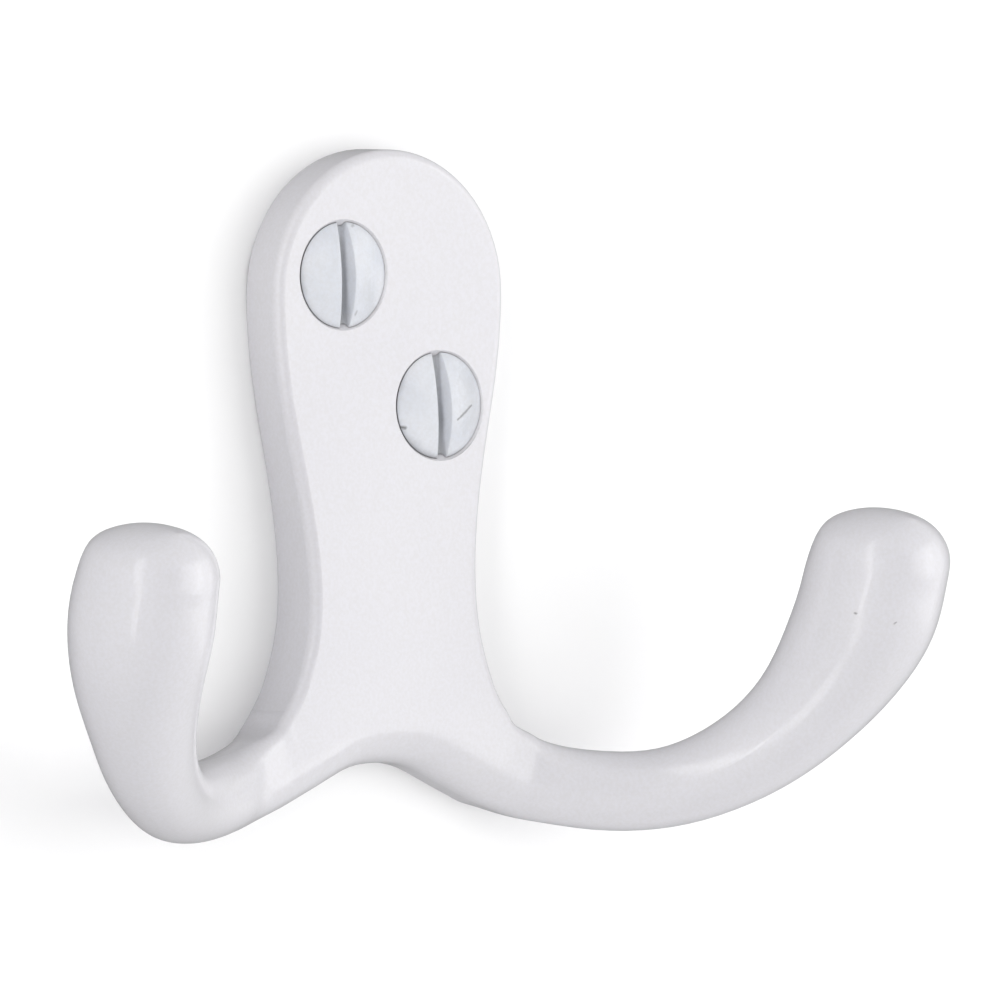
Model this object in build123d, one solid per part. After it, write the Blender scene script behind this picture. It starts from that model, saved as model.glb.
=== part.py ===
from build123d import *
import os
from math import cos, radians, sin, tan

# Double wall hook: one painted casting and the two wood screws that hold it on the wall.
# Millimetres. +Z is up, the wall is the plane Y = 0 and the front looks along -Y.
# The origin lies on the wall, midway between the two screws.

# --- back plate: half widths and heights of its outline, seen from the front ----------------
HEAD_RADIUS = 10.2            # round top of the plate
HEAD_CENTRE_Z = 3.3
SHOULDER = (8.45, -9.0)       # where the plate narrows
WAIST = (7.4, -16.8)          # where it is narrowest
FLARE = [(7.75, -21.2), (8.4, -23.4), (8.95, -24.75)]  # where it widens again towards a prong
FLARE_TOP = (9.75, -26.1)     # upper corner of the root of a prong
FLARE_TOP_BEYOND = (11.45, -28.2)
ARCH_TOP = (0, -30.0)         # underside, between the prongs
ARCH_FLANKS = [(3.0, -30.38), (5.0, -31.25)]
FLARE_FOOT = (7.6, -32.45)    # lower corner of the root of a prong
FLARE_FOOT_BEYOND = (10.6, -33.7)
HEAD_THICKNESS = 3.7          # plate behind the screw heads
ROOT_THICKNESS = 4.6          # plate between the prongs
SLOPE_TOP_Z, SLOPE_FOOT_Z = -4.0, -24.0  # between them the front slopes outwards
RIM_ROUND = 0.7               # front edge of the outline
ARCH_ROUND = 2.9              # front edge of the underside
BACK_ROUND = 0.15

# --- prongs ---------------------------------------------------------------------------------
# Centre of each section on the right prong, its depth off the wall, its height across the
# bend, and the radii of its corners as shares of the smaller half: upper front, lower front,
# lower back and upper back.
ROUND = (0.97, 0.97, 0.97, 0.97)
PRONG_SECTIONS = [
    ((10.9, -2.37, -30.66), 4.65, 5.85, (0.36, 1.20, 0.20, 0.75)),
    ((12.4, -2.50, -31.20), 4.7, 5.8, (0.50, 1.15, 0.50, 1.00)),
    ((14.3, -3.20, -31.72), 4.9, 5.65, (0.75, 1.05, 0.80, 0.95)),
    ((18.6, -5.10, -32.32), 5.4, 5.65, ROUND),
    ((22.0, -7.10, -32.10), 5.7, 5.7, ROUND),
    ((25.0, -9.35, -30.90), 6.1, 6.1, ROUND),
    ((27.7, -11.6, -28.85), 6.8, 6.8, ROUND),
    ((29.8, -13.6, -26.20), 7.8, 7.8, ROUND),
    ((31.5, -15.4, -22.90), 9.3, 9.2, ROUND),
    ((32.5, -17.0, -19.40), 10.3, 10.1, ROUND),
    ((32.75, -18.15, -16.00), 10.0, 9.95, ROUND),
]
ROOT_RUNS = (0, 0.6, 1.2)     # so far out a prong still has the plate's own section
TIP_DIRECTION = (0.02, -0.38, 0.92)
BEND_NORMAL = (0.7, 0.72, 0)  # level direction square to the prong's bend
TIP_LENGTH = 3.5              # rounded end beyond the last section
TIP_FORWARD = 2.2             # the point lies this far in front of the middle of that section
TIP_ANGLES = (20, 38, 55, 70, 81, 89)  # round the end, from the last section to the point
TIP_FULLNESS = 2.3            # 2 is a true ellipse, more is blunter

# --- screws ---------------------------------------------------------------------------------
SHANK_DIAMETER = 4.0
NECK_DIAMETER = 4.3           # swells from the shank, at the wall, to the head
CORE_DIAMETER = 2.8           # of the threaded end
HOLE_DIAMETER = 4.6
HEAD_DIAMETER = 7.5
SINK_DIAMETER = 7.9           # mouth of the countersink
SINK_ANGLE = 90.0
RIM_DEPTH = 0.08              # head's rim below the plate's face
DOME_RISE = 0.7
SLOT_WIDTH, SLOT_DEPTH = 1.25, 1.05
SCREW_LENGTH = 25.0           # from the rim to the point
THREAD_LENGTH = 15.0
POINT_LENGTH = 3.5
SCREWS = {                    # centre on the wall, plate's thickness there, turn of the slot
    "upper_screw": ((-4.3, 4.67), 3.7, -2.0),
    "lower_screw": ((4.3, -4.67), 3.72, -4.0),
}

FAR = 60.0                    # past every part of the hook


def both_sides(edges):
    """The edges of the right half and their mirror images."""
    return [*edges, *[mirror(edge, about=Plane.YZ) for edge in edges]]


def prong_root_plane(side):
    """Where a prong leaves the plate: through both corners of its root, square to the wall,
    looking outwards. side is 1 for the right prong and -1 for the left."""
    top = Vector(side * FLARE_TOP[0], 0, FLARE_TOP[1])
    foot = Vector(side * FLARE_FOOT[0], 0, FLARE_FOOT[1])
    outwards = Vector(0, side, 0).cross(top - foot).normalized()
    return Plane(origin=(top + foot) / 2, x_dir=(0, 1, 0), z_dir=outwards)


def plate_outline():
    """Front view of the plate, which runs on a little past the roots of the prongs."""
    head_side = (HEAD_RADIUS, HEAD_CENTRE_Z)
    head = RadiusArc(head_side, (-HEAD_RADIUS, HEAD_CENTRE_Z), -HEAD_RADIUS)
    side = Spline(head_side, SHOULDER, WAIST, *FLARE, FLARE_TOP, FLARE_TOP_BEYOND,
                  tangents=[(0, -1), (0.75, -0.66)])
    arch = Spline(ARCH_TOP, *ARCH_FLANKS, FLARE_FOOT, FLARE_FOOT_BEYOND,
                  tangents=[(1, 0), (0.94, -0.34)])
    stub_end = Line(FLARE_TOP_BEYOND, FLARE_FOOT_BEYOND)
    return make_face([head, *both_sides([side, stub_end, arch])])


def plate_thickness_band():
    """Side view of the plate: flat behind the screw heads, then thicker towards the prongs."""
    slope_top = (-HEAD_THICKNESS, SLOPE_TOP_Z)
    slope_foot = (-ROOT_THICKNESS, SLOPE_FOOT_Z)
    upper_front = Line((-HEAD_THICKNESS, FAR), slope_top)
    slope = Spline(slope_top, slope_foot, tangents=[(0, -1), (0, -1)])
    lower_front = Line(slope_foot, (-ROOT_THICKNESS, -FAR))
    back = Polyline(lower_front @ 1, (0, -FAR), (0, FAR), upper_front @ 0)
    side_view = make_face([upper_front, slope, lower_front, back])
    return extrude(Plane.YZ.offset(-FAR) * side_view, 2 * FAR)


def edges_along_outline(block, nearest, farthest):
    """Edges that follow the plate's outline, between two distances off the wall. The lines
    across the front face and the ends of the two stubs are left out."""
    stub_x = (FLARE_TOP_BEYOND[0] + FLARE_FOOT_BEYOND[0]) / 2 - 0.1
    at_this_depth = block.edges().filter_by_position(Axis.Y, -farthest, -nearest)
    return [
        edge for edge in at_this_depth
        if abs(edge.center().X) < stub_x
        and not (edge.geom_type == GeomType.LINE and abs(edge.center().X) < 1)
    ]


def cast_plate():
    """The plate with its edges rounded, still with the stubs beyond the roots of the prongs."""
    block = extrude(Plane.XZ * plate_outline(), FAR) & plate_thickness_band()
    underside_z = ARCH_TOP[1] + 0.1
    front = edges_along_outline(block, HEAD_THICKNESS - 0.1, ROOT_THICKNESS + 0.1)
    block = fillet([edge for edge in front if edge.center().Z < underside_z], ARCH_ROUND)
    front = edges_along_outline(block, HEAD_THICKNESS - 0.1, ROOT_THICKNESS + 0.1)
    block = fillet([edge for edge in front if edge.center().Z > underside_z], RIM_ROUND)
    return fillet(edges_along_outline(block, -0.01, 0.01), BACK_ROUND)


def cut_face(block, plane):
    """The face that a cut along the plane leaves on the part of the block behind it."""
    kept = split(block, bisect_by=plane, keep=Keep.BOTTOM)
    middle = plane.origin - Vector(0, ROOT_THICKNESS / 2, 0)
    return kept.faces().filter_by(GeomType.PLANE).sort_by_distance(middle)[0]


def rounded_section(place, depth, height, roundness):
    """One section of a prong: a rectangle whose corners are rounded, each by its own share."""
    x, y = depth / 2, height / 2
    upper_front, lower_front, lower_back, upper_back = [share * min(x, y) for share in roundness]
    corners = [(x, -y), (x, y), (-x, y), (-x, -y)]
    radii = [lower_back, upper_back, upper_front, lower_front]
    return place * FilletPolyline(corners, radius=radii, close=True).wire()


def right_prong(plate):
    """The right prong, skinned over its sections from the cut on the plate to the tip."""
    root = prong_root_plane(1)
    cuts = [cut_face(plate, root.offset(run)) for run in ROOT_RUNS]
    wires = [cut.outer_wire() for cut in cuts]
    towards_tip = Vector(*TIP_DIRECTION).normalized()
    end = Vector(*PRONG_SECTIONS[-1][0])
    middles = [Vector(*centre) for centre, *_ in PRONG_SECTIONS]
    centres = [cuts[-1].center(), *middles, end + towards_tip]
    neighbours = zip(centres, centres[1:], centres[2:])
    for (before, centre, after), (_, depth, height, roundness) in zip(neighbours, PRONG_SECTIONS):
        along = after - before
        level = Vector(*BEND_NORMAL) if along.Z > 0 else Vector(0, 0, 1).cross(along)
        place = Plane(centre, x_dir=level, z_dir=along)
        wires.append(rounded_section(place, depth, height, roundness))
    for angle in TIP_ANGLES:
        rise, shrink = [part(radians(angle)) ** (2 / TIP_FULLNESS) for part in (sin, cos)]
        centre = end + towards_tip * TIP_LENGTH * rise - Vector(0, TIP_FORWARD * (1 - shrink), 0)
        place = Plane(centre, x_dir=BEND_NORMAL, z_dir=towards_tip)
        wires.append(rounded_section(place, depth * shrink, height * shrink, roundness))
    in_front_of_wall = Pos(0, -FAR / 2, 0) * Box(2 * FAR, FAR, 2 * FAR)
    return Solid.make_loft(wires) & in_front_of_wall


def turned(profile):
    """A solid turned about the Y axis from a half profile drawn as (radius, y)."""
    return revolve(make_face(profile), axis=Axis.Y)


def head_seat_y():
    """Height of the head's cone at the head's full diameter, above the plate's face at 0."""
    return (SINK_DIAMETER - HEAD_DIAMETER) / 2 / tan(radians(SINK_ANGLE / 2))


def screw_hole():
    """Clearance hole and countersink, with the plate's face at y = 0 and the wall at +y."""
    mouth, hole = SINK_DIAMETER / 2, HOLE_DIAMETER / 2
    cone_length = (mouth - hole) / tan(radians(SINK_ANGLE / 2))
    return turned(Polyline(
        (0, -FAR), (mouth, -FAR), (mouth, 0), (hole, cone_length), (hole, FAR), (0, FAR), (0, -FAR)))


def wood_screw(thickness, slot_turn):
    """A slotted, raised countersunk wood screw, in the same frame as screw_hole. Its neck runs
    through the plate, so its shank starts at the wall."""
    head, neck = HEAD_DIAMETER / 2, NECK_DIAMETER / 2
    shank, core = SHANK_DIAMETER / 2, CORE_DIAMETER / 2
    seat_y = head_seat_y()
    neck_y = seat_y + (head - neck) / tan(radians(SINK_ANGLE / 2))
    point_y = RIM_DEPTH + SCREW_LENGTH
    thread_y = point_y - THREAD_LENGTH
    apex = (0, RIM_DEPTH - DOME_RISE)
    rim = (head, RIM_DEPTH)
    dome_radius = (head**2 + DOME_RISE**2) / (2 * DOME_RISE)
    dome = RadiusArc(apex, rim, dome_radius)
    rest = Polyline(
        rim, (head, seat_y), (neck, neck_y), (shank, thickness), (shank, thread_y),
        (core, thread_y + shank - core), (core, point_y - POINT_LENGTH), (0, point_y), apex)
    slot = Pos(0, RIM_DEPTH - DOME_RISE, 0) * Rot(0, slot_turn, 0) * Box(
        SLOT_WIDTH, 2 * SLOT_DEPTH, 2 * HEAD_DIAMETER)
    return turned([dome, rest]) - slot


def hook_body():
    """The casting: plate and both prongs in one piece, with its two screw holes."""
    block = cast_plate()
    prong = right_prong(block)
    body = split(block, bisect_by=prong_root_plane(1), keep=Keep.BOTTOM)
    body = split(body, bisect_by=prong_root_plane(-1), keep=Keep.BOTTOM)
    body = body + prong + mirror(prong, about=Plane.YZ)
    for (x, z), thickness, _ in SCREWS.values():
        body -= Pos(x, -thickness, z) * screw_hole()
    return body


def main():
    os.makedirs("parts", exist_ok=True)
    export_step(hook_body(), "parts/hook_body.step")
    for name, ((x, z), thickness, slot_turn) in SCREWS.items():
        screw = wood_screw(thickness, slot_turn)
        export_step(Pos(x, -thickness, z) * screw, f"parts/{name}.step")


if __name__ == "__main__":
    main()
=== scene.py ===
"""Double wall hook: a white enamelled casting, held on the wall by two slotted wood screws.

The casting keeps its own solid and gets its enamel here. The screws are modelled anew, with
rolled threads, milled slots and the marks that a screwdriver leaves. Sizes in the classes are
in millimetres and angles in degrees, unless a docstring says otherwise. Every finished mesh
is in metres.
"""
import logging
import math
from collections.abc import Callable
from dataclasses import dataclass, field, replace
from enum import Enum

import bmesh
import bpy
from mathutils import Matrix, Vector


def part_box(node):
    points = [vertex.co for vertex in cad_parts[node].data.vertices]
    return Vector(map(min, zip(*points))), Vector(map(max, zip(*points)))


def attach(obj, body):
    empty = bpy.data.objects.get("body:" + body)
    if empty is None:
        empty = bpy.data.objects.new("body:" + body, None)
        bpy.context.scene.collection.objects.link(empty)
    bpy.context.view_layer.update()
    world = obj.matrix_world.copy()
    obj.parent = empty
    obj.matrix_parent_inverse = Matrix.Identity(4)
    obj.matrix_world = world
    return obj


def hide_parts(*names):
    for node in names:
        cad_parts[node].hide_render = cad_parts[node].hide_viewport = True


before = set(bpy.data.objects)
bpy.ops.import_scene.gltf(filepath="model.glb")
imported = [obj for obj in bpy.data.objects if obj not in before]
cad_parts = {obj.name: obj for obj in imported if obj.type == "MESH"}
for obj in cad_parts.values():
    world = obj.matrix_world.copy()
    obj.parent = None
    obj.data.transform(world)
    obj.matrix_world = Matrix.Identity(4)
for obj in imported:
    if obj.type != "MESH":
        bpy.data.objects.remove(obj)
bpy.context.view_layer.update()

MM = 0.001
NEAR = 0.01  # Heights on a screw that differ by less, in mm, count as one height.
TINY = 1e-6  # Lengths below this count as none.

log = logging.getLogger("wall_hook")


class Slot(Enum):
    """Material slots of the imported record."""

    CASTING = "white_enamel"
    SCREW = "screw_enamel"


def linear(hex_colour: str) -> tuple[float, float, float, float]:
    """Turns an sRGB hex colour into the linear one that the shaders take.

    Args:
        hex_colour: Six hex digits after a hash sign.

    Returns:
        Red, green, blue and an alpha of 1.
    """
    channels = [int(hex_colour[i:i + 2], 16) / 255 for i in (1, 3, 5)]
    rgb = [c / 12.92 if c <= 0.04045 else ((c + 0.055) / 1.055) ** 2.4 for c in channels]
    return (*rgb, 1.0)


def per_metre(size_mm: float) -> float:
    """Scale of a texture on Object coordinates whose features are size_mm apart."""
    return 1 / (size_mm * MM)


def add_node(tree: bpy.types.NodeTree, kind: str, inputs: dict | None = None,
             **settings: object) -> bpy.types.Node:
    """Adds one node with its settings and links.

    Args:
        tree: Node tree that gets the node.
        kind: Blender's name for the type of node.
        inputs: What goes into its sockets, by name or number. A socket is linked, any other
            value is set.
        settings: Properties of the node itself.

    Returns:
        The new node.
    """
    node = tree.nodes.new(kind)
    for name, value in settings.items():
        setattr(node, name, value)
    for name, value in (inputs or {}).items():
        if isinstance(value, bpy.types.NodeSocket):
            tree.links.new(value, node.inputs[name])
        else:
            node.inputs[name].default_value = value
    return node


def new_material(name: str) -> tuple[bpy.types.Material, bpy.types.NodeTree]:
    """A material with an empty node tree.

    Args:
        name: Name of the real material.

    Returns:
        The material and its tree.
    """
    material = bpy.data.materials.new(name)
    material.use_nodes = True
    material.node_tree.nodes.clear()
    return material, material.node_tree


@dataclass(frozen=True)
class Mark:
    """A mark in the enamel, seen from the front. A narrow strong one is a scratch or a fleck,
    and a wide faint one greys a broad patch. Its ends are x and z in the row frame, and its
    strength is its grey's share of the colour."""

    start: tuple[float, float]
    end: tuple[float, float]
    width: float
    strength: float


PRONG_MARKS = (Mark((28.63, -19.47), (28.68, -19.50), 0.20, 0.7),
               Mark((31.06, -20.19), (31.14, -20.15), 0.24, 0.7))
UPPER_MARKS = (Mark((-3.39, 1.86), (-3.30, 2.10), 0.30, 0.4),
               Mark((-3.57, 8.10), (-3.42, 8.16), 0.28, 0.4),
               Mark((-2.40, 3.60), (-1.90, 2.40), 2.60, 0.12))
LOWER_MARKS = (Mark((5.55, -5.70), (6.93, -4.72), 0.26, 0.7),
               Mark((0.84, -6.16), (1.20, -6.24), 0.32, 0.8),
               Mark((6.90, -3.20), (7.20, -5.60), 3.40, 0.16))


@dataclass(frozen=True)
class Enamel:
    """White stoving enamel, sprayed on metal and baked. It gives the eye a smooth satin skin
    with slow waves, faint orange peel and the faint grain of the metal under it, and a dull
    grey painted into tight corners as shade."""

    name: str
    white: str = "#CFCED2"
    cool_white: str = "#CBCAD0"
    cloud_mm: float = 14.0
    cloud_band: tuple[float, float] = (0.3, 0.7)
    # The metal's own grain is finer than this. It is drawn coarser, so that it shows.
    grain: str = "#B4AFA6"
    grain_mm: float = 0.24
    grain_band: tuple[float, float] = (0.35, 0.65)
    grain_strength: float = 0.15
    # Painted shade lies where less of the surroundings is open than its reach. For each mm that a
    # point is from the heart along the pull, the reach grows by the pull's length.
    corner_painted_shade: str = "#6B6760"
    corner_shade_reach_mm: float = 0.9
    painted_shade_strength: float = 0.7
    painted_shade_reach: float = 0.25
    painted_shade_least: float = 0.05
    painted_shade_patch_mm: float = 2.5
    painted_shade_heart: tuple[float, float, float] = (0.0, 0.0, 0.0)
    painted_shade_pull: tuple[float, float, float] = (0.0, 0.0, 0.0)
    speck: str = "#9A948C"
    speck_spacing_mm: float = 7.0
    speck_radius_mm: float = 0.10
    speck_core: float = 0.5
    speck_strength: float = 0.55
    roughness: float = 0.40
    roughness_spread: float = 0.03
    gloss: float = 0.7
    gloss_roughness: float = 0.16
    peel_mm: float = 1.1
    peel_height_mm: float = 0.0035
    wave_mm: float = 9.0
    wave_height_mm: float = 0.02
    # How far the enamel has flowed over a sharp edge. At 0 the edge stays sharp.
    edge_flow_mm: float = 0.0
    marks: tuple[Mark, ...] = ()
    mark_grey: str = "#4A4744"
    mark_rag_mm: float = 0.35

    def material(self) -> bpy.types.Material:
        """Builds the enamel on Object coordinates.

        Returns:
            The material.
        """
        material, tree = new_material(self.name)
        where = add_node(tree, "ShaderNodeTexCoord").outputs["Object"]

        cloud = add_node(tree, "ShaderNodeTexNoise", {
            "Vector": where, "Scale": per_metre(self.cloud_mm), "Detail": 2.0})
        tone = add_node(tree, "ShaderNodeMix", {
            "Factor": cloud.outputs["Fac"], "A": linear(self.white),
            "B": linear(self.cool_white)}, data_type="RGBA")
        fine = add_node(tree, "ShaderNodeTexNoise", {
            "Vector": where, "Scale": per_metre(self.grain_mm), "Detail": 3.0})
        sand = add_node(tree, "ShaderNodeMapRange", {
            "Value": fine.outputs["Fac"], "From Min": self.grain_band[0],
            "From Max": self.grain_band[1], "To Min": 0.0, "To Max": self.grain_strength})
        grained = add_node(tree, "ShaderNodeMix", {
            "Factor": sand.outputs["Result"], "A": tone.outputs["Result"],
            "B": linear(self.grain)}, data_type="RGBA")
        colour = self._with_specks(tree, where, grained.outputs["Result"])
        colour = self._with_painted_shade(tree, where, colour)
        for mark in self.marks:
            colour = self._with_mark(tree, where, colour, mark)

        shine = add_node(tree, "ShaderNodeMapRange", {
            "Value": cloud.outputs["Fac"], "From Min": self.cloud_band[0],
            "From Max": self.cloud_band[1], "To Min": self.roughness - self.roughness_spread,
            "To Max": self.roughness + self.roughness_spread})
        wave = add_node(tree, "ShaderNodeTexNoise", {
            "Vector": where, "Scale": per_metre(self.wave_mm), "Detail": 1.0})
        peel = add_node(tree, "ShaderNodeTexNoise", {
            "Vector": where, "Scale": per_metre(self.peel_mm), "Detail": 2.0})
        flowed = add_node(tree, "ShaderNodeBevel", {"Radius": self.edge_flow_mm * MM},
                          samples=8)
        waved = add_node(tree, "ShaderNodeBump", {
            "Height": wave.outputs["Fac"], "Distance": self.wave_height_mm * MM,
            "Normal": flowed.outputs["Normal"]})
        peeled = add_node(tree, "ShaderNodeBump", {
            "Height": peel.outputs["Fac"], "Distance": self.peel_height_mm * MM,
            "Normal": waved.outputs["Normal"]})
        shader = add_node(tree, "ShaderNodeBsdfPrincipled", {
            "Base Color": colour, "Roughness": shine.outputs["Result"],
            "IOR": 1.5, "Coat Weight": self.gloss, "Coat Roughness": self.gloss_roughness,
            "Normal": peeled.outputs["Normal"]})
        add_node(tree, "ShaderNodeOutputMaterial", {"Surface": shader.outputs["BSDF"]})
        return material

    def _with_specks(self, tree: bpy.types.NodeTree, where: bpy.types.NodeSocket,
                     colour: bpy.types.NodeSocket) -> bpy.types.NodeSocket:
        """Adds the few specks of dust that were baked into the coat.

        Args:
            tree: Node tree of the material.
            where: Object coordinates.
            colour: Colour so far.

        Returns:
            Colour with the specks.
        """
        cells = add_node(tree, "ShaderNodeTexVoronoi", {
            "Vector": where, "Scale": per_metre(self.speck_spacing_mm)})
        share = self.speck_radius_mm / self.speck_spacing_mm
        dot = add_node(tree, "ShaderNodeMapRange", {
            "Value": cells.outputs["Distance"], "From Min": share * self.speck_core,
            "From Max": share, "To Min": self.speck_strength, "To Max": 0.0})
        return add_node(tree, "ShaderNodeMix", {
            "Factor": dot.outputs["Result"], "A": colour, "B": linear(self.speck)},
            data_type="RGBA").outputs["Result"]

    def _with_painted_shade(self, tree: bpy.types.NodeTree, where: bpy.types.NodeSocket,
                    colour: bpy.types.NodeSocket) -> bpy.types.NodeSocket:
        """Adds a painted shade of grey in tight corners, more of it where the pull points.

        Args:
            tree: Node tree of the material.
            where: Object coordinates.
            colour: Colour so far.

        Returns:
            Colour with the painted shade.
        """
        # Painted shade: the colour turns grey where ambient occlusion finds little open
        # surroundings.
        corner = add_node(tree, "ShaderNodeAmbientOcclusion", {
            "Distance": self.corner_shade_reach_mm * MM}, samples=8)
        uneven = add_node(tree, "ShaderNodeTexNoise", {
            "Vector": where, "Scale": per_metre(self.painted_shade_patch_mm), "Detail": 3.0})
        reach = add_node(tree, "ShaderNodeMath", {
            0: uneven.outputs["Fac"], 1: self.painted_shade_reach}, operation="ADD")
        from_heart = add_node(tree, "ShaderNodeVectorMath", {
            0: where, 1: Vector(self.painted_shade_heart) * MM}, operation="SUBTRACT")
        pulled = add_node(tree, "ShaderNodeVectorMath", {
            0: from_heart.outputs[0], 1: Vector(self.painted_shade_pull) / MM},
            operation="DOT_PRODUCT")
        limit = add_node(tree, "ShaderNodeMath", {
            0: reach.outputs[0], 1: pulled.outputs["Value"]}, operation="ADD")
        kept = add_node(tree, "ShaderNodeMath", {0: limit.outputs[0], 1: self.painted_shade_least},
                        operation="MAXIMUM")
        shade = add_node(tree, "ShaderNodeMapRange", {
            "Value": corner.outputs["AO"], "From Min": 0.0, "From Max": kept.outputs[0],
            "To Min": self.painted_shade_strength, "To Max": 0.0})
        return add_node(tree, "ShaderNodeMix", {
            "Factor": shade.outputs["Result"], "A": colour, "B": linear(self.corner_painted_shade)},
            data_type="RGBA").outputs["Result"]

    def _with_mark(self, tree: bpy.types.NodeTree, where: bpy.types.NodeSocket,
                   colour: bpy.types.NodeSocket, mark: Mark) -> bpy.types.NodeSocket:
        """Adds one mark, grey and ragged along its length.

        Args:
            tree: Node tree of the material.
            where: Object coordinates.
            colour: Colour so far.
            mark: The mark.

        Returns:
            Colour with the mark.
        """
        start, end = (Vector((x, 0.0, z)) * MM for x, z in (mark.start, mark.end))
        run = end - start
        from_front = add_node(tree, "ShaderNodeVectorMath", {0: where, 1: (1.0, 0.0, 1.0)},
                              operation="MULTIPLY")
        from_start = add_node(tree, "ShaderNodeVectorMath", {
            0: from_front.outputs[0], 1: start}, operation="SUBTRACT")
        along = add_node(tree, "ShaderNodeVectorMath", {
            0: from_start.outputs[0], 1: run / run.length_squared}, operation="DOT_PRODUCT")
        held = add_node(tree, "ShaderNodeMath", {0: along.outputs["Value"], 1: 0.0},
                        operation="ADD", use_clamp=True)
        nearest = add_node(tree, "ShaderNodeVectorMath", {0: run, "Scale": held.outputs[0]},
                           operation="SCALE")
        away = add_node(tree, "ShaderNodeVectorMath", {
            0: from_start.outputs[0], 1: nearest.outputs[0]}, operation="DISTANCE")
        rag = add_node(tree, "ShaderNodeTexNoise", {
            "Vector": where, "Scale": per_metre(self.mark_rag_mm), "Detail": 2.0})
        half = add_node(tree, "ShaderNodeMath", {
            0: rag.outputs["Fac"], 1: mark.width * MM}, operation="MULTIPLY")
        scratch = add_node(tree, "ShaderNodeMapRange", {
            "Value": away.outputs["Value"], "From Min": 0.0, "From Max": half.outputs[0],
            "To Min": mark.strength, "To Max": 0.0})
        return add_node(tree, "ShaderNodeMix", {
            "Factor": scratch.outputs["Result"], "A": colour, "B": linear(self.mark_grey)},
            data_type="RGBA").outputs["Result"]


@dataclass(frozen=True)
class ZincPlate:
    """Bright zinc plate on steel wire. It gives the eye a cool grey metal with fine turning
    marks round the shank, and duller patches where the plating is thin."""

    name: str = "zinc_plated_steel"
    bright: str = "#C3C7CB"
    dull: str = "#8E9297"
    patch_mm: float = 2.2
    ring_mm: float = 0.15
    ring_stretch: float = 10.0
    ring_height_mm: float = 0.004
    roughness: tuple[float, float] = (0.25, 0.5)

    def material(self) -> bpy.types.Material:
        """Builds the plating on Object coordinates.

        Returns:
            The material.
        """
        material, tree = new_material(self.name)
        where = add_node(tree, "ShaderNodeTexCoord").outputs["Object"]
        patch = add_node(tree, "ShaderNodeTexNoise", {
            "Vector": where, "Scale": per_metre(self.patch_mm), "Detail": 4.0})
        tone = add_node(tree, "ShaderNodeMix", {
            "Factor": patch.outputs["Fac"], "A": linear(self.bright), "B": linear(self.dull)},
            data_type="RGBA")
        squeezed = add_node(tree, "ShaderNodeMapping", {
            "Vector": where, "Scale": (1 / self.ring_stretch, 1.0, 1 / self.ring_stretch)})
        rings = add_node(tree, "ShaderNodeTexNoise", {
            "Vector": squeezed.outputs["Vector"], "Scale": per_metre(self.ring_mm),
            "Detail": 2.0})
        shine = add_node(tree, "ShaderNodeMapRange", {
            "Value": patch.outputs["Fac"], "To Min": self.roughness[0],
            "To Max": self.roughness[1]})
        drawn = add_node(tree, "ShaderNodeBump", {
            "Height": rings.outputs["Fac"], "Distance": self.ring_height_mm * MM})
        shader = add_node(tree, "ShaderNodeBsdfPrincipled", {
            "Base Color": tone.outputs["Result"], "Metallic": 1.0,
            "Roughness": shine.outputs["Result"], "Normal": drawn.outputs["Normal"]})
        add_node(tree, "ShaderNodeOutputMaterial", {"Surface": shader.outputs["BSDF"]})
        return material


@dataclass(frozen=True)
class MattPaint:
    """Matt emulsion on a smooth board. It gives the eye an even pale sheet with a faint roller
    texture. The back of the board is open, so that the object shows from behind it."""

    name: str
    tone: str
    roughness: float = 0.9
    roller_mm: float = 3.0
    roller_height_mm: float = 0.004

    def material(self) -> bpy.types.Material:
        """Builds the paint on Object coordinates.

        Returns:
            The material.
        """
        material, tree = new_material(self.name)
        where = add_node(tree, "ShaderNodeTexCoord").outputs["Object"]
        roller = add_node(tree, "ShaderNodeTexNoise", {
            "Vector": where, "Scale": per_metre(self.roller_mm), "Detail": 3.0})
        bump = add_node(tree, "ShaderNodeBump", {
            "Height": roller.outputs["Fac"], "Distance": self.roller_height_mm * MM})
        paint = add_node(tree, "ShaderNodeBsdfPrincipled", {
            "Base Color": linear(self.tone), "Roughness": self.roughness,
            "Normal": bump.outputs["Normal"]})
        behind = add_node(tree, "ShaderNodeNewGeometry").outputs["Backfacing"]
        clear = add_node(tree, "ShaderNodeBsdfTransparent")
        shown = add_node(tree, "ShaderNodeMixShader", {
            0: behind, 1: paint.outputs["BSDF"], 2: clear.outputs["BSDF"]})
        add_node(tree, "ShaderNodeOutputMaterial", {"Surface": shown.outputs["Shader"]})
        return material


def start_piece(name: str) -> bpy.types.Object:
    """Names the primitive that was just added and opens it for editing.

    Args:
        name: Name of the piece.

    Returns:
        The piece.
    """
    piece = bpy.context.object
    piece.name = piece.data.name = name
    bpy.ops.object.transform_apply(location=True, rotation=True, scale=True)
    bpy.ops.object.mode_set(mode="EDIT")
    return piece


def apply_modifier(piece: bpy.types.Object, kind: str, **settings: object) -> None:
    """Adds a modifier to a piece and applies it.

    Args:
        piece: The piece, in object mode.
        kind: Blender's name for the type of modifier.
        settings: Its properties.
    """
    bpy.context.view_layer.objects.active = piece
    modifier = piece.modifiers.new(kind.title(), kind)
    for name, value in settings.items():
        setattr(modifier, name, value)
    bpy.ops.object.modifier_apply(modifier=modifier.name)


def select_edges(piece: bpy.types.Object,
                 chosen: Callable[[bmesh.types.BMEdge], bool]) -> None:
    """Selects edges of a piece in edit mode, and nothing else.

    Args:
        piece: The piece, in edit mode.
        chosen: Test that says whether an edge is selected.
    """
    bpy.ops.mesh.select_mode(type="EDGE")
    bpy.ops.mesh.select_all(action="DESELECT")
    mesh = bmesh.from_edit_mesh(piece.data)
    for edge in mesh.edges:
        if chosen(edge):
            edge.select_set(True)
    mesh.select_flush_mode()
    bmesh.update_edit_mesh(piece.data)


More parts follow.
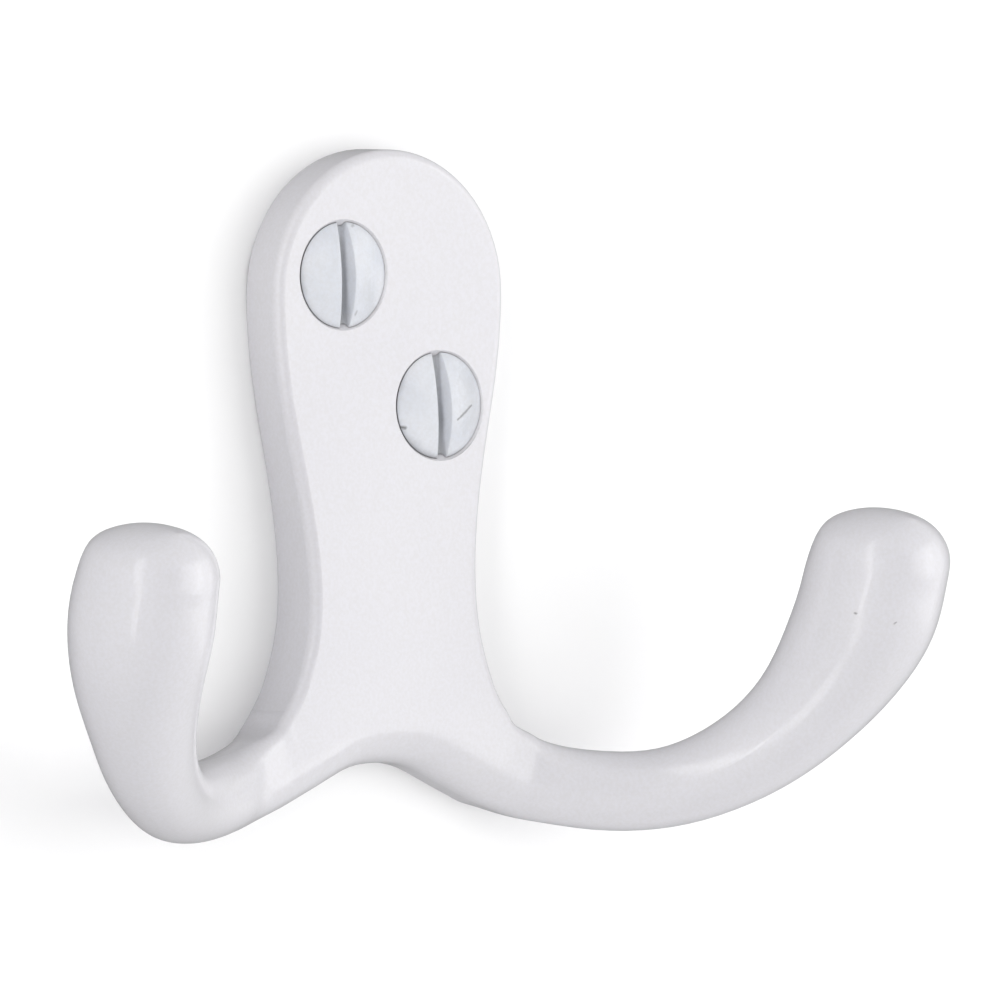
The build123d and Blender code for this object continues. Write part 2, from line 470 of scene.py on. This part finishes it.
@dataclass
class WoodScrew:
    """A slotted, raised countersunk wood screw, modelled about the Y axis with its rim at
    y = 0 and its point towards +Y. Each screw of the hook is a copy of this one model."""

    name: str = "wood_screw"
    head: float = 7.5
    seat: float = 0.12
    dome_rise: float = 0.7
    rim_ease: float = 0.03
    rim_rise: float = 0.012
    rim_drop: float = 0.02
    slot_width: float = 1.25
    slot_foot: float = 0.60
    slot_depth: float = 1.05
    foot_round: float = 0.15
    overcut: float = 0.2
    lip_round: float = 0.12
    lip_angle: float = 40.0
    neck: float = 4.3
    neck_length: float = 3.62
    shank: float = 4.0
    core: float = 2.8
    length: float = 25.0
    point: float = 3.5
    tip_radius: float = 0.04
    tip_height: float = 0.06
    # The thread starts and ends a little inside the threaded length. Its ridge is sunk in
    # the core, and at the point it keeps a share of its height.
    thread_length: float = 15.0
    thread_start: float = 0.6
    thread_end: float = 0.7
    pitch: float = 1.8
    ridge_half_width: float = 0.45
    ridge_sunk: float = 0.1
    ridge_left: float = 0.35
    # The enamel covers this share of the head's depth.
    coated_share: float = 0.9
    smooth_angle: float = 35.0
    around: int = 96
    dome_rings: int = 9
    thread_steps: int = 60

    def profile(self) -> list[tuple[float, float]]:
        """Works out the rings of the plain screw, from the dome to the point.

        Returns:
            Radius and y of each ring.
        """
        head, neck, shank, core = (d / 2 for d in (self.head, self.neck, self.shank, self.core))
        ball = (head**2 + self.dome_rise**2) / (2 * self.dome_rise)
        dome = []
        for step in range(1, self.dome_rings):
            radius = head * step / self.dome_rings
            dome.append((radius, ball - self.dome_rise - math.sqrt(ball**2 - radius**2)))
        shank_end = self.length - self.thread_length
        return [*dome, (head - self.rim_ease, -self.rim_rise), (head, self.rim_drop),
                (head, self.seat), (neck, self.seat + head - neck),
                (shank, self.neck_length), (shank, shank_end),
                (core, shank_end + shank - core), (core, self.length - self.point),
                (self.tip_radius, self.length - self.tip_height)]

    def core_radius(self, y: float) -> float:
        """Radius of the threaded end, without its thread, at a distance from the rim.

        Args:
            y: Distance from the rim.

        Returns:
            The radius.
        """
        taper = (self.length - y) / self.point
        return self.core / 2 * min(1.0, max(0.0, taper))

    def turned_body(self) -> bpy.types.Object:
        """Extrudes the rings of the profile one after the other, and closes both poles.

        Returns:
            The plain screw, with neither slot nor thread.
        """
        rings = self.profile()
        radius, y = rings[0]
        bpy.ops.object.select_all(action="DESELECT")
        bpy.ops.mesh.primitive_circle_add(
            vertices=self.around, radius=radius, location=(0, y, 0),
            rotation=(math.pi / 2, 0, 0), fill_type="TRIFAN")
        body = start_piece(self.name)
        mesh = bmesh.from_edit_mesh(body.data)
        mesh.verts.ensure_lookup_table()
        middle = min(mesh.verts, key=lambda v: v.co.x**2 + v.co.z**2)
        middle.co.y = -self.dome_rise
        bmesh.update_edit_mesh(body.data)
        select_edges(body, lambda edge: edge.is_boundary)
        for next_radius, next_y in rings[1:]:
            bpy.ops.mesh.extrude_region_move(
                TRANSFORM_OT_translate={"value": (0, next_y - y, 0)})
            scale = next_radius / radius
            bpy.ops.transform.resize(value=(scale, 1, scale), center_override=(0, next_y, 0))
            radius, y = next_radius, next_y
        bpy.ops.mesh.edge_face_add()
        bpy.ops.mesh.poke(offset=self.tip_height)
        bpy.ops.mesh.select_all(action="SELECT")
        bpy.ops.mesh.normals_make_consistent(inside=False)
        bpy.ops.object.mode_set(mode="OBJECT")
        return body

    def cut_slot(self, body: bpy.types.Object) -> None:
        """Mills the slot across the dome, narrower at its foot where enamel has filled it, and
        takes the sharpness off its lips.

        Args:
            body: The turned screw.
        """
        height = self.slot_depth + self.overcut
        foot = self.slot_depth - self.dome_rise
        flare = (self.slot_width - self.slot_foot) * height / self.slot_depth
        bpy.ops.object.select_all(action="DESELECT")
        bpy.ops.mesh.primitive_cube_add(size=1, location=(0, 0, 0))
        cutter = start_piece("slot_cutter")
        bpy.ops.transform.resize(value=(self.slot_foot + flare, height, 2 * self.head))
        bpy.ops.transform.translate(value=(0, foot - height / 2, 0))
        select_edges(cutter, lambda edge: all(v.co.y > foot - NEAR for v in edge.verts))
        bpy.ops.transform.resize(
            value=(self.slot_foot / (self.slot_foot + flare), 1, 1),
            center_override=(0, foot, 0))
        select_edges(cutter, lambda edge: edge.verts[0].co.y > foot - NEAR
                     and abs(edge.verts[0].co.z - edge.verts[1].co.z) > self.head)
        bpy.ops.mesh.bevel(offset=self.foot_round, segments=3, affect="EDGES")
        bpy.ops.mesh.select_all(action="SELECT")
        bpy.ops.mesh.normals_make_consistent(inside=False)
        bpy.ops.object.mode_set(mode="OBJECT")
        apply_modifier(body, "BOOLEAN", object=cutter, operation="DIFFERENCE", solver="EXACT")
        bpy.data.objects.remove(cutter)
        bpy.ops.object.select_all(action="DESELECT")
        body.select_set(True)
        bpy.ops.object.mode_set(mode="EDIT")
        select_edges(body, lambda edge: len(edge.link_faces) == 2
                     and edge.calc_face_angle() > math.radians(self.lip_angle)
                     and max(v.co.y for v in edge.verts) < self.rim_drop
                     and max(v.co.x**2 + v.co.z**2 for v in edge.verts) < (self.head / 2)**2)
        bpy.ops.mesh.bevel(offset=self.lip_round, segments=3, affect="EDGES",
                           clamp_overlap=True)
        bpy.ops.object.mode_set(mode="OBJECT")

    def rolled_thread(self) -> bpy.types.Object:
        """Sweeps the thread's ridge along its helix, following the core down to the point.

        Returns:
            The ridge, as a closed piece of its own.
        """
        start_y = self.length - self.thread_length + self.thread_start
        end_y = self.length - self.thread_end
        bpy.ops.object.select_all(action="DESELECT")
        bpy.ops.mesh.primitive_circle_add(
            vertices=3, radius=self.ridge_half_width, location=(self.core / 2, start_y, 0),
            fill_type="NOTHING")
        ridge = start_piece(f"{self.name}_ridge")
        mesh = bmesh.from_edit_mesh(ridge.data)
        mesh.verts.ensure_lookup_table()
        root, crest, half = self.core / 2 - self.ridge_sunk, self.shank / 2, self.ridge_half_width
        for vert, (x, y) in zip(mesh.verts, ((root, -half), (crest, 0.0), (root, half))):
            vert.co = (x, start_y + y, 0)
        bmesh.update_edit_mesh(ridge.data)
        bpy.ops.object.mode_set(mode="OBJECT")
        whole_turns = int((end_y - start_y) / self.pitch) + 1
        apply_modifier(ridge, "SCREW", axis="Y", angle=2 * math.pi, screw_offset=self.pitch,
                       iterations=whole_turns, steps=self.thread_steps,
                       render_steps=self.thread_steps, use_merge_vertices=False)
        bpy.ops.object.mode_set(mode="EDIT")
        bpy.ops.mesh.select_all(action="SELECT")
        bpy.ops.mesh.bisect(plane_co=(0, end_y, 0), plane_no=(0, 1, 0), clear_outer=True,
                            use_fill=True, threshold=TINY)
        mesh = bmesh.from_edit_mesh(ridge.data)
        for vert in mesh.verts:
            self._follow_core(vert, start_y, end_y)
        bmesh.update_edit_mesh(ridge.data)
        bpy.ops.mesh.select_all(action="SELECT")
        bpy.ops.mesh.fill_holes(sides=0)
        bpy.ops.mesh.select_all(action="SELECT")
        bpy.ops.mesh.normals_make_consistent(inside=False)
        bpy.ops.object.mode_set(mode="OBJECT")
        return ridge

    def _follow_core(self, vert: bmesh.types.BMVert, start_y: float, end_y: float) -> None:
        """Moves a point of the ridge in or out, so that the ridge runs out at its start and
        gets lower with the core towards the point.

        Args:
            vert: Point of the ridge.
            start_y: Where the ridge starts.
            end_y: Where it ends.
        """
        radius = math.hypot(vert.co.x, vert.co.z)
        above = radius - self.core / 2
        fade_in = min(1.0, max(0.0, (vert.co.y - start_y) / self.pitch))
        fade_out = min(1.0, (end_y - vert.co.y) / self.point + self.ridge_left)
        fade = fade_in * fade_out if above > 0 else 1.0
        wanted = self.core_radius(vert.co.y) + above * fade
        vert.co.x *= wanted / radius
        vert.co.z *= wanted / radius

    def build(self, head_coat: bpy.types.Material,
              bare: bpy.types.Material) -> bpy.types.Object:
        """Makes the screw and dresses it.

        Args:
            head_coat: Finish of the head.
            bare: Finish of the shank and thread.

        Returns:
            The model of the screw.
        """
        body = self.turned_body()
        self.cut_slot(body)
        ridge = self.rolled_thread()
        bpy.ops.object.select_all(action="DESELECT")
        ridge.select_set(True)
        body.select_set(True)
        bpy.context.view_layer.objects.active = body
        bpy.ops.object.join()
        body.data.materials.append(head_coat)
        body.data.materials.append(bare)
        below_head = (self.seat + (self.head - self.neck) / 2) * self.coated_share
        for face in body.data.polygons:
            face.material_index = int(face.center.y > below_head)
        bpy.ops.object.shade_smooth_by_angle(angle=math.radians(self.smooth_angle))
        return body


@dataclass(frozen=True)
class DrivenScrew:
    """A screw in its hole: which one it is, where its slot came to rest, and its scars."""

    node: str
    slot_turn: float
    marks: tuple[Mark, ...]

    def rim(self, length: float) -> Vector:
        """Middle of the head's rim in the row frame, in metres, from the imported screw.

        Args:
            length: Distance from the rim to the point, in mm.

        Returns:
            The middle.
        """
        lowest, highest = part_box(self.node)
        return Vector(((lowest.x + highest.x) / 2, highest.y - length * MM,
                       (lowest.z + highest.z) / 2))

    def build(self, model: bpy.types.Object, length: float,
              coat: Enamel) -> bpy.types.Object:
        """Copies the model, turns it and sets it in its hole.

        Args:
            model: The dressed model of the screw, in mm.
            length: Distance from its rim to its point, in mm.
            coat: Finish of its head.

        Returns:
            The finished screw.
        """
        rim = self.rim(length)
        # The painted shade of this screw's coat deepens from its own rim into the hole.
        own_coat = replace(coat, name=f"{self.node}_enamel", painted_shade_heart=tuple(rim / MM),
                           marks=self.marks)
        screw = model.copy()
        screw.data = model.data.copy()
        screw.name = screw.data.name = f"{self.node}_threaded"
        bpy.context.scene.collection.objects.link(screw)
        screw.data.materials[0] = own_coat.material()
        bpy.ops.object.select_all(action="DESELECT")
        screw.select_set(True)
        bpy.context.view_layer.objects.active = screw
        screw.matrix_world = (Matrix.Translation(rim) @ Matrix.Scale(MM, 4)
                              @ Matrix.Rotation(math.radians(self.slot_turn), 4, "Y"))
        bpy.ops.object.transform_apply(location=True, rotation=True, scale=True)
        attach(screw, "root")
        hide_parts(self.node)
        return screw


@dataclass
class Casting:
    """The cast plate with its two prongs, in the solid's own shape."""

    node: str = "hook_body"
    # Its enamel paints a grey shade into tight corners, round the screw heads too.
    coat: Enamel = field(
        default_factory=lambda: Enamel("white_stoving_enamel", marks=PRONG_MARKS))

    def build(self) -> bpy.types.Object:
        """Gives the casting its enamel.

        Returns:
            The casting.
        """
        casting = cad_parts[self.node]
        coat = self.coat.material()
        for material_slot in casting.material_slots:
            material_slot.material = coat
        return casting


@dataclass(frozen=True)
class Lamp:
    """A soft box that looks at the hook. Its place is the direction it stands in, seen from
    the hook: degrees to the right of straight in front, and degrees above the level. Its
    distance and sides are in metres, and its power is in watts. A lamp that is not mirrored
    gives light but shows in no gloss."""

    name: str
    turn: float
    rise: float
    distance: float
    width: float
    height: float
    power: float
    mirrored: bool = True

    def build(self) -> None:
        """Makes the lamp."""
        turn, rise = math.radians(self.turn), math.radians(self.rise)
        place = self.distance * Vector((
            math.sin(turn) * math.cos(rise), -math.cos(turn) * math.cos(rise), math.sin(rise)))
        light = bpy.data.lights.new(self.name, "AREA")
        light.shape, light.energy = "RECTANGLE", self.power
        light.size, light.size_y = self.width, self.height
        lamp = bpy.data.objects.new(self.name, light)
        bpy.context.scene.collection.objects.link(lamp)
        lamp.location = place
        lamp.rotation_mode = "QUATERNION"
        lamp.rotation_quaternion = (-place).to_track_quat("-Z", "Y")
        lamp.visible_camera = False
        lamp.visible_glossy = self.mirrored


@dataclass
class Studio:
    """A white wall over a pale floor, in a room with light side walls and ceiling. Large soft
    boxes stand in front, on the right and on the left, with a narrow upright one on the left.
    A small one behind, straight across from the camera, lights the plate's back. The room's
    light falls to a share of itself behind the wall, and the backdrop is what the camera
    sees of it."""

    wall_gap: float = 0.15
    wall_width: float = 1600.0
    floor_drop: float = 260.0
    cove: float = 120.0
    room_dim: float = 0.18
    room_sides: float = 0.70
    room_ceiling: float = 0.28
    behind_share: float = 0.35
    fully_behind: float = 0.5
    backdrop: float = 1.0
    lamps: tuple[Lamp, ...] = (
        Lamp("key_light", 38, 0, 1.4, 1.2, 1.2, 7.2),
        Lamp("side_light", 66, 0, 1.4, 1.2, 1.2, 3.8),
        Lamp("high_light", 0, 45, 1.4, 1.4, 1.4, 2.4),
        Lamp("left_fill", -58, 5, 1.4, 1.4, 1.4, 1.0),
        Lamp("strip_light", -54, 8, 1.3, 0.24, 2.4, 5.9),
        Lamp("back_light", 142, 0, 1.4, 0.4, 0.4, 9.0, mirrored=False),
    )

    def build(self) -> None:
        """Makes the stage, the lamps and the room."""
        self.wall_and_floor()
        for lamp in self.lamps:
            lamp.build()
        self.room()

    def wall_and_floor(self) -> None:
        """Makes one sheet that comes down the wall and curves into the floor."""
        top = self.wall_width / 2
        bend = self.cove - self.floor_drop
        bpy.ops.object.select_all(action="DESELECT")
        bpy.ops.mesh.primitive_plane_add(
            size=self.wall_width * MM, location=(0, self.wall_gap * MM, 0),
            rotation=(math.pi / 2, 0, 0))
        sheet = start_piece("wall_and_floor")
        mesh = bmesh.from_edit_mesh(sheet.data)
        for vert in mesh.verts:
            vert.co.z = top * MM if vert.co.z > 0 else bend * MM
        bmesh.update_edit_mesh(sheet.data)
        select_edges(
            sheet, lambda edge: all(abs(v.co.z - bend * MM) < TINY for v in edge.verts))
        bpy.ops.mesh.spin(steps=16, angle=math.pi / 2, axis=(1, 0, 0),
                          center=(0, (self.wall_gap - self.cove) * MM, bend * MM))
        bpy.ops.mesh.extrude_region_move(
            TRANSFORM_OT_translate={"value": (0, -self.wall_width * MM, 0)})
        bpy.ops.object.mode_set(mode="OBJECT")
        bpy.ops.object.shade_smooth()
        sheet.data.materials.append(MattPaint("matt_white_board", "#F4F4F4").material())
        sheet.visible_shadow = sheet.visible_glossy = False

    def room(self) -> None:
        """Lights the room softly from its side walls and ceiling, and less from behind."""
        world = bpy.data.worlds.new("light_room")
        bpy.context.scene.world = world
        world.use_nodes = True
        tree = world.node_tree
        tree.nodes.clear()
        towards = add_node(tree, "ShaderNodeTexCoord").outputs["Generated"]
        parts = add_node(tree, "ShaderNodeSeparateXYZ", {"Vector": towards})
        aside = add_node(tree, "ShaderNodeMath", {0: parts.outputs["X"]}, operation="ABSOLUTE")
        sides = add_node(tree, "ShaderNodeMath", {
            0: aside.outputs[0], 1: self.room_sides, 2: self.room_dim},
            operation="MULTIPLY_ADD")
        overhead = add_node(tree, "ShaderNodeMath", {0: parts.outputs["Z"], 1: 0.0},
                            operation="MAXIMUM")
        strength = add_node(tree, "ShaderNodeMath", {
            0: overhead.outputs[0], 1: self.room_ceiling, 2: sides.outputs[0]},
            operation="MULTIPLY_ADD")
        share = add_node(tree, "ShaderNodeMapRange", {
            "Value": parts.outputs["Y"], "From Min": 0.0, "From Max": self.fully_behind,
            "To Min": 1.0, "To Max": self.behind_share})
        dimmed = add_node(tree, "ShaderNodeMath", {
            0: strength.outputs[0], 1: share.outputs["Result"]}, operation="MULTIPLY")
        seen = add_node(tree, "ShaderNodeLightPath").outputs["Is Camera Ray"]
        shown = add_node(tree, "ShaderNodeMix", {
            "Factor": seen, "A": dimmed.outputs[0], "B": self.backdrop})
        light = add_node(tree, "ShaderNodeBackground", {
            "Color": linear("#FFFFFF"), "Strength": shown.outputs["Result"]})
        add_node(tree, "ShaderNodeOutputWorld", {"Surface": light.outputs["Background"]})


@dataclass
class Portrait:
    """The camera: far off, from the left of the plate and a little above its middle. It looks
    past the origin by the aim, to its own right and up."""

    turn: float = -38.08
    rise: float = 1.495
    distance: float = 2130.0
    aim_right: float = 9.957
    aim_up: float = -11.397
    field_of_view: float = 1.9076
    nearest_seen: float = 100.0
    farthest_seen: float = 20000.0

    def build(self) -> None:
        """Makes the camera and gives it to the scene."""
        turn, rise = math.radians(self.turn), math.radians(self.rise)
        back = Vector((math.sin(turn) * math.cos(rise), -math.cos(turn) * math.cos(rise),
                       math.sin(rise)))
        right = Vector((math.cos(turn), math.sin(turn), 0))
        up = back.cross(right)
        place = (right * self.aim_right + up * self.aim_up + back * self.distance) * MM
        data = bpy.data.cameras.new("portrait")
        data.angle = math.radians(self.field_of_view)
        data.clip_start, data.clip_end = self.nearest_seen * MM, self.farthest_seen * MM
        camera = bpy.data.objects.new("portrait", data)
        bpy.context.scene.collection.objects.link(camera)
        camera.matrix_world = Matrix.Translation(place) @ Matrix(
            (right, up, back)).transposed().to_4x4()
        bpy.context.scene.camera = camera


def main() -> None:
    """Builds the camera, the stage and every piece in order."""
    logging.basicConfig(level=logging.INFO, format="%(name)s: %(message)s")
    Portrait().build()
    Studio().build()
    log.info("dressed %s, slot %s", Casting().build().name, Slot.CASTING.value)
    bare = ZincPlate().material()
    # The screw heads' enamel. Its dark grey in the slot and in the gap round the head is painted
    # shade, growing deeper into the hole.
    handled = Enamel(
        "screw_stoving_enamel", white="#DADBDF", cool_white="#BCC1CB", cloud_mm=3.0,
        roughness=0.5, gloss=0.15, edge_flow_mm=0.15, corner_painted_shade="#2E2B28",
        painted_shade_strength=0.95, painted_shade_reach=0.42, painted_shade_pull=(-0.05, 0.65, -0.03),
        corner_shade_reach_mm=0.7)
    screw = WoodScrew()
    model = screw.build(handled.material(), bare)
    for driven in (DrivenScrew("upper_screw", -2.0, UPPER_MARKS),
                   DrivenScrew("lower_screw", -4.0, LOWER_MARKS)):
        log.info("set %s", driven.build(model, screw.length, handled).name)
    bpy.data.objects.remove(model)
    view_settings = bpy.context.scene.view_settings
    view_settings.view_transform, view_settings.look = "Standard", "None"


if __name__ == "__main__":
    main()
